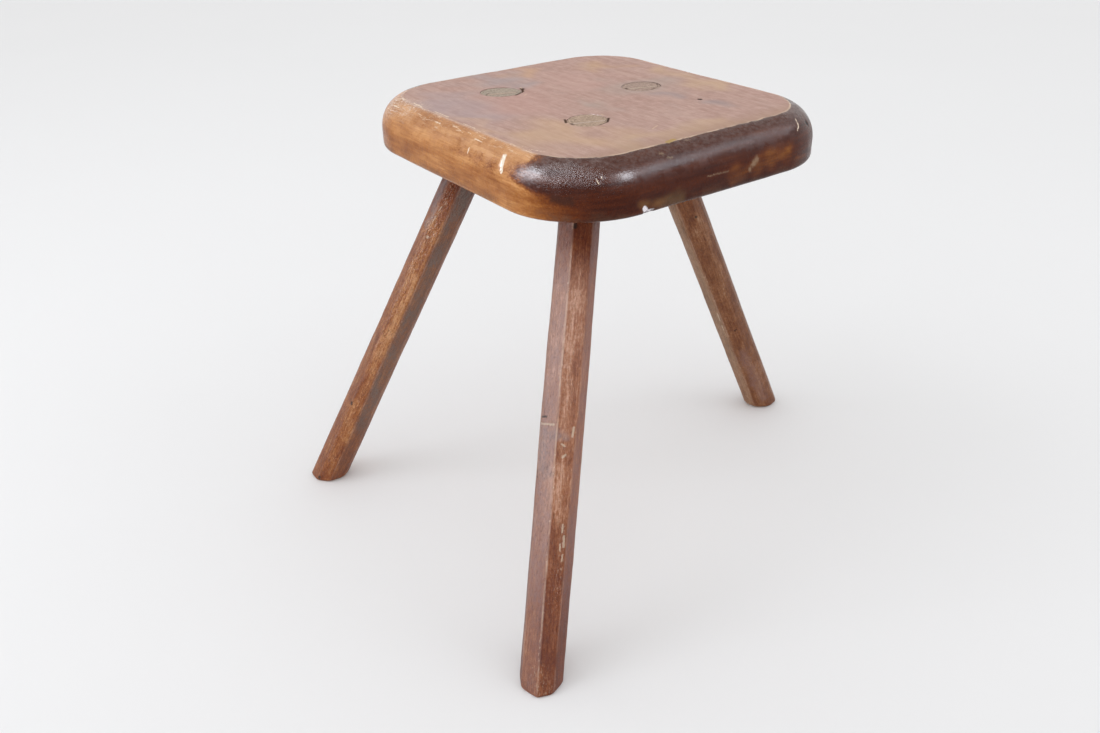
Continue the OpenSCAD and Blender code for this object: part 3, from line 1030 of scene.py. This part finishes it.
def seat_wood(name, specular):
    """The seat's wood and varnish, with its worn arris, scratches, chips and open joints."""
    s = Shader(name)
    p = seat_place(s)
    x, y, z = s.split(p)
    grain = Grain(s, p)
    torn = s.ragged(p, 0.6, 0.6)

    # how far in from the rim, as rim_inset has it, and the direction the rim faces: 0 for the long sides
    past = s.vector("SUBTRACT", s.vector("ABSOLUTE", s.join(x, y, 0.0)), (*CORE, 0))
    outside = s.vector("MAXIMUM", past, (0, 0, 0))
    px, py, _ = s.split(past)
    ox, oy, _ = s.split(outside)
    inset = s.minus(CORNER, s.vector("LENGTH", outside))
    inset = s.minus(inset, s.math("MINIMUM", s.math("MAXIMUM", px, py), 0.0))
    turn = s.product(s.math("ARCTAN2", oy, ox), math.degrees(1))
    edge, is_end = seat_edge_colour(s, p, grain, turn)

    shaken = s.sum(inset, s.swing(s.noise(p, (0.12, 0.12, 0.12), detail=5), 2.0))
    worn_arris = s.fade(is_end, 0, 1, 3.5, 0.6)
    is_top = s.fade(s.math("DIVIDE", s.minus(shaken, EDGE_INSET), worn_arris), -1, 0.5)
    is_top = s.product(is_top, s.fade(z, 33, 37))
    colour = s.mix(is_top, edge, seat_top_colour(s, p, grain))

    # finish rubbed off along the arris
    line = s.fade(s.math("ABSOLUTE", s.minus(shaken, EDGE_INSET - 0.3)), 1.0, 0.3)
    line = s.product(line, s.fade(z, 35, 38), s.fade(s.noise(p, (0.07, 0.07, 0.07)), 0.36, 0.55, 0.25, 1))
    colour = s.mix(s.product(line, s.fade(is_end, 0, 1, 0.3, 0.8)), colour, (0.62, 0.45, 0.32))
    speckle = s.noise(p, (0.75, 0.1, 0.75), detail=5, rough=0.72)
    crossed = s.noise(p, (0.3, 0.7, 0.7), detail=5, rough=0.75)
    _, corner, strip = s.split(s.attribute("worn"))
    colour = s.mix(s.product(corner, 0.1), colour, (0.60, 0.40, 0.27))
    flecks = s.product(corner, s.fade(s.math("MAXIMUM", speckle, crossed), 0.55, 0.61))
    colour = s.mix(s.product(flecks, 0.85), colour, (0.80, 0.64, 0.52))
    colour = s.mix(s.product(strip, s.fade(speckle, 0.56, 0.64), 0.85), colour, (0.80, 0.58, 0.40))

    # marks
    colour = s.mix(s.product(s.drawn(torn, SCRATCHES), 0.85), colour, (0.84, 0.68, 0.52))
    colour = s.mix(s.product(s.drawn(s.ragged(p, 0.5, 2.6), SCUFFS, 0.8), 0.45), colour, (0.36, 0.26, 0.17))
    colour = s.mix(s.product(s.drawn(torn, GAPS, 0.5), 0.9), colour, GAP_COLOUR)
    colour = s.mix(s.product(s.drawn(torn, SPLINTERS, 0.5), 0.6), colour, (0.62, 0.46, 0.33))
    colour = s.mix(s.drawn(torn, CHIP, 0.45), colour, (0.86, 0.76, 0.62))
    colour = s.mix(s.drawn(torn, BITE), colour, (0.82, 0.78, 0.82))
    colour = s.mix(s.product(s.drawn(torn, BARE_SPOT), 0.8), colour, (0.42, 0.28, 0.10))
    knot = s.drawn(s.ragged(p, 0.2, 2), KNOT, 0.6)
    colour = s.mix(s.product(knot, 0.8), colour, (0.045, 0.012, 0.006))
    colour = s.mix(s.drawn(p, WORM_HOLES + NAIL_SHADE, 0.2), colour, (0.006, 0.004, 0.003))

    # the varnish is crazed at the near corner, and a little duller on top of the ends
    gloss = s.fade(s.noise(p, (0.12, 0.12, 0.12), detail=5), 0.3, 0.7, 0.2, 0.36)
    rough = s.sum(gloss, s.product(s.fade(z, 33, 38), is_end, 0.04))
    normal = s.bump(s.sum(grain.fibre, s.product(grain.pores, -0.5)), 0.0002, 0.5)
    normal = s.bump(s.product(grain.speck, is_end), 0.0002, 0.3, normal)
    crackle = s.noise(p, (0.9, 0.9, 0.5), detail=4, rough=0.65)
    _, _, crazed = s.split(s.attribute("glaze"))
    normal = s.bump(s.product(crackle, s.sum(crazed, 0.05)), 0.001, 0.7, normal)
    return s.finish(colour, rough, normal, specular)


# Each leg's colours: bare wood, greyed wood that also serves as painted sheen, dust, and the end grain of
# its tenon
LEG_COLOURS = {
    "left": ((0.55, 0.275, 0.122), (0.18, 0.145, 0.125), (0.25, 0.19, 0.185), (0.52, 0.43, 0.35)),
    "front": ((0.55, 0.305, 0.21), (0.37, 0.245, 0.23), (0.26, 0.185, 0.18), (0.57, 0.42, 0.32)),
    "right": ((0.38, 0.205, 0.12), (0.31, 0.23, 0.155), (0.25, 0.135, 0.11), (0.52, 0.385, 0.32)),
}


def leg_wood(name, part, specular):
    """A leg's wood and varnish, with painted sheen on some facets and painted shade under the seat, its
    rubbed arrises and marks, and the end grain of its tenon.
    """
    s = Shader("stool_" + part + "_" + name)
    leg, marks = LEGS[name], leg_marks(name)
    place = s.attribute("stick")
    pale, grey_and_sheen, arris = s.split(s.attribute("facet"))
    p = s.vector("ADD", place, tuple(leg["seed"] * step for step in (13.0, 7.0, 31.0)))
    fibre = s.noise(p, (0.85, 0.85, 0.07), detail=6, rough=0.68)
    streak = s.noise(p, (0.22, 0.22, 0.02), detail=5, rough=0.62)
    pores = s.fade(s.noise(p, (1.6, 1.6, 0.25), detail=3, rough=0.7), 0.56, 0.68)
    cloud = s.noise(p, (0.07, 0.07, 0.035), detail=6, rough=0.6)
    speck = s.noise(p, (0.55, 0.55, 0.35), detail=6, rough=0.72)
    bare, grey_and_sheen_colour, dust, end_grain = LEG_COLOURS[name]
    u, v, along = s.split(place)

    # varnish: thin on the paler facets, whose paleness is partly painted sheen, thick at the front leg's
    # foot, and thick under the seat, where the darkening is partly varnish and partly painted shade
    thickness = s.sum(
        s.minus(1.6, s.product(pale, 1.4)),
        s.swing(fibre, 2.2),
        s.swing(streak, 1.5),
        s.swing(cloud, 1.7),
        s.swing(speck, 2.1),
        # darker under the seat: partly thicker varnish, partly painted shade
        s.product(s.fade(along, 295, 380), 1.4),
        s.product(s.fade(along, 170, 60), leg["foot"]),
    )
    amber, dusty, flecked = s.split(s.attribute("zones"))
    thickness = s.minus(thickness, s.product(amber, 0.3))
    colour = varnished(s, bare, s.math("MAXIMUM", thickness, 0.0), LEG_ABSORB)
    # greyness: partly greyed wood, partly painted sheen on the facets that face the softboxes
    grey_and_sheen = s.product(grey_and_sheen, s.fade(cloud, 0.3, 0.65, 0.5, 1.0), s.fade(along, 10, 130, 0.35, 1.0))
    colour = s.mix(s.product(grey_and_sheen, s.fade(speck, 0.35, 0.6, 0.6, 1.0)), colour, grey_and_sheen_colour)
    colour = s.mix(s.product(dusty, s.fade(speck, 0.35, 0.6, 0.25, 0.7)), colour, dust)
    colour = s.mix(s.product(pores, 0.45), colour, (0.05, 0.02, 0.012))

    # arrises rubbed pale, more here and less there
    rubbed = s.fade(s.noise(p, (0.1, 0.1, 0.04), detail=5, rough=0.65), 0.36, 0.56, 0.15, 1)
    rub = s.attribute("rub", "Fac")
    rubbed = s.product(s.fade(arris, 1.1, 0.2), rubbed, rub)
    colour = s.mix(rubbed, colour, (0.58, 0.40, 0.31))
    nicks = s.product(s.fade(arris, 1.8, 0.4), s.fade(s.noise(p, (0.6, 0.6, 0.3), detail=3), 0.62, 0.7))
    colour = s.mix(s.product(nicks, rub), colour, (0.70, 0.52, 0.40))
    torn = s.ragged(s.attribute("skin"), 0.6, 0.6)
    flecks = s.fade(s.noise(p, (0.9, 0.9, 0.3), detail=4, rough=0.7), 0.55, 0.64)
    colour = s.mix(s.product(flecked, flecks, 0.55), colour, (0.58, 0.41, 0.28))
    colour = s.mix(s.product(s.drawn(torn, marks["pale"], 0.5), 0.7), colour, (0.60, 0.47, 0.35))
    colour = s.mix(s.product(s.drawn(torn, marks["dark"], 0.5), 0.85), colour, (0.02, 0.01, 0.007))

    # end grain of the tenon, flush with the seat
    heart = s.join(s.minus(u, TENON_HEART[0]), s.minus(v, TENON_HEART[1]), 0.0)
    ring = s.math("FRACT", s.math("DIVIDE", s.vector("LENGTH", heart), TENON_RING))
    end = s.mix(s.product(s.fade(ring, 0.4, 0.95), 0.2), end_grain, tuple(0.6 * c for c in end_grain))
    grubby = s.fade(s.noise(p, (0.5, 0.5, 0.5), detail=5, rough=0.65), 0.38, 0.62, 0.0, 0.6)
    end = s.mix(grubby, end, tuple(0.55 * c for c in end_grain))
    across = seat_place(s)
    end = s.mix(s.product(s.drawn(across, GAPS, 0.6), 0.7), end, GAP_COLOUR)
    _, _, z = s.split(across)
    is_end = s.fade(z, SEAT_THICK - 1.4, SEAT_THICK - 0.7)
    colour = s.mix(is_end, colour, end)

    rough = s.fade(cloud, 0.3, 0.7, 0.3, 0.45)
    rough = s.math("MAXIMUM", rough, s.product(is_end, 0.7))
    grain = s.sum(fibre, s.product(speck, 1.3), s.product(pores, -0.5))
    return s.finish(colour, rough, s.bump(grain, 0.0009, 0.8), specular)


def slip_wood():
    """The wedges' split wood, without varnish."""
    s = Shader("stool_wedge_wood")
    place = s.attribute("stick")
    fibre = s.noise(place, (1.5, 1.5, 0.1), detail=5)
    colour = s.mix(s.fade(fibre, 0.3, 0.7), (0.42, 0.32, 0.26), (0.56, 0.44, 0.355))
    return s.finish(colour, 0.7, s.bump(fibre, 0.0003, 0.6), MATT)


# ---------------------------------------------------------------- pieces on the frame


def settle(piece, node, slot, *materials):
    """Gives a piece its materials, and puts it in the place of a CAD node."""
    for material in materials:
        piece.data.materials.append(material)
    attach(piece, "root")
    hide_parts(node)


def use_second_material(piece, chosen):
    """Gives the faces whose vertices are all chosen the piece's second material, which has no gloss."""
    for face in piece.data.polygons:
        face.material_index = int(chosen[list(face.vertices)].all())


seat = make_seat()
# the flat top and the tenons' ends are matt, and the rest is varnished
seat_finishes = seat_wood("stool_seat_wood", SEAT_GLOSS), seat_wood("stool_seat_top", MATT)
settle(seat, "seat", "seat_wood", *seat_finishes)
seat_local = mesh_points(seat.data) / MM - SEAT_ORIGIN
on_flat = (rim_inset(seat_local) > EDGE_INSET - 0.7) & (seat_local[:, 2] > SEAT_THICK - 2)
use_second_material(seat, on_flat)
slip_finish = slip_wood()
for name in LEGS:
    stick = make_leg(name)
    stick_finishes = leg_wood(name, "leg_wood", LEG_GLOSS), leg_wood(name, "tenon_end", MATT)
    settle(stick, "leg_" + name, "leg_wood", *stick_finishes)
    use_second_material(stick, mesh_points(stick.data)[:, 2] / MM > SEAT_TOP - 1)
    settle(make_slip(name), "wedge_" + name, "wedge_wood", slip_finish)

# ---------------------------------------------------------------- floor, light and camera

WORLD_LIGHT = (1.3, 0.78)  # at the horizon and overhead
FLOOR_REACH = 8.0
FLOOR_TONES = (0.82, 0.82, 0.825), (0.835, 0.835, 0.84)
SOFTBOX_COLOUR = (0.94, 0.96, 1.0)
GLOSS_COLOUR = (0.86, 0.92, 1.0)
# Each softbox: azimuth and height in degrees, distance and size in metres, and watts
SOFTBOXES = {
    "broad_left": (-112, 40, 2.4, (1.2, 1.2), 9),
    "broad_right": (40, 38, 2.4, (1.2, 1.0), 3),
}
# The same for the ones that only the gloss shows
GLOSS_SOFTBOXES = {
    "strip_left": (-114, 38, 2.0, (0.75, 0.9), 125),
    "glow_left": (-72, 50, 2.0, (1.1, 1.0), 135),
    "strip_right": (24, 38, 2.0, (0.45, 0.55), 76),
    "band_right": (54, 35, 2.0, (1.2, 0.45), 12),
}
CAMERA_TURN, CAMERA_RISE, CAMERA_ROLL = -35.2, 29.6, -1.4
CAMERA_DISTANCE = 0.8354
CAMERA_TARGET = (-0.0929, -0.0310, 0.1729)
CAMERA_LENS = 31.83


def make_floor():
    s = Shader("studio_paper")
    tone = s.noise(s.node("TexCoord").outputs["Object"], (1.5, 1.5, 1.5), detail=2)
    s.finish(s.mix(tone, *FLOOR_TONES), 0.9, None, 0.1)
    mesh = bpy.data.meshes.new("studio_floor")
    corners = [(x * FLOOR_REACH, y * FLOOR_REACH, 0) for x, y in ((-1, -1), (1, -1), (1, 1), (-1, 1))]
    mesh.from_pydata(corners, [], [(0, 1, 2, 3)])
    mesh.materials.append(s.material)
    floor = bpy.data.objects.new("studio_floor", mesh)
    bpy.context.scene.collection.objects.link(floor)


def aimed(target, turn, rise, distance, roll=0.0):
    """The place and turn of what looks at the target from an azimuth and a height in degrees."""
    turn, tilt, roll = math.radians(turn), math.radians(90 - rise), math.radians(roll)
    facing = Matrix.Rotation(turn, 4, "Z") @ Matrix.Rotation(tilt, 4, "X")
    step_back = Matrix.Translation((0, 0, distance))
    return Matrix.Translation(target) @ facing @ step_back @ Matrix.Rotation(roll, 4, "Z")


def softbox(name, turn, rise, distance, size, power, colour):
    data = bpy.data.lights.new(name, "AREA")
    data.shape = "RECTANGLE"
    data.size, data.size_y = size
    data.energy = power
    data.color = colour
    light = bpy.data.objects.new(name, data)
    light.matrix_world = aimed((0, 0, SEAT_TOP * MM), turn, rise, distance)
    bpy.context.scene.collection.objects.link(light)
    return light


def make_light():
    """An even white studio, brighter at the horizon, and the softboxes."""
    world = bpy.data.worlds.new("studio")
    bpy.context.scene.world = world
    world.use_nodes = True
    nodes, links = world.node_tree.nodes, world.node_tree.links
    sky = nodes["Background"]
    sky.inputs["Color"].default_value = (1, 1, 1, 1)
    direction = nodes.new("ShaderNodeTexCoord")
    height = nodes.new("ShaderNodeSeparateXYZ")
    strength = nodes.new("ShaderNodeMapRange")
    strength.inputs["To Min"].default_value, strength.inputs["To Max"].default_value = WORLD_LIGHT
    links.new(direction.outputs["Generated"], height.inputs[0])
    links.new(height.outputs["Z"], strength.inputs["Value"])
    links.new(strength.outputs[0], sky.inputs["Strength"])
    for name, box in SOFTBOXES.items():
        softbox(name, *box, SOFTBOX_COLOUR)
    for name, box in GLOSS_SOFTBOXES.items():
        softbox(name, *box, GLOSS_COLOUR).visible_diffuse = False


def make_camera():
    data = bpy.data.cameras.new("camera")
    data.lens = CAMERA_LENS
    data.sensor_width = 36
    data.clip_start = 0.01
    camera = bpy.data.objects.new("camera", data)
    camera.matrix_world = aimed(CAMERA_TARGET, CAMERA_TURN, CAMERA_RISE, CAMERA_DISTANCE, CAMERA_ROLL)
    bpy.context.scene.collection.objects.link(camera)
    bpy.context.scene.camera = camera


make_floor()
make_light()
make_camera()
bpy.context.scene.view_settings.view_transform = "Standard"
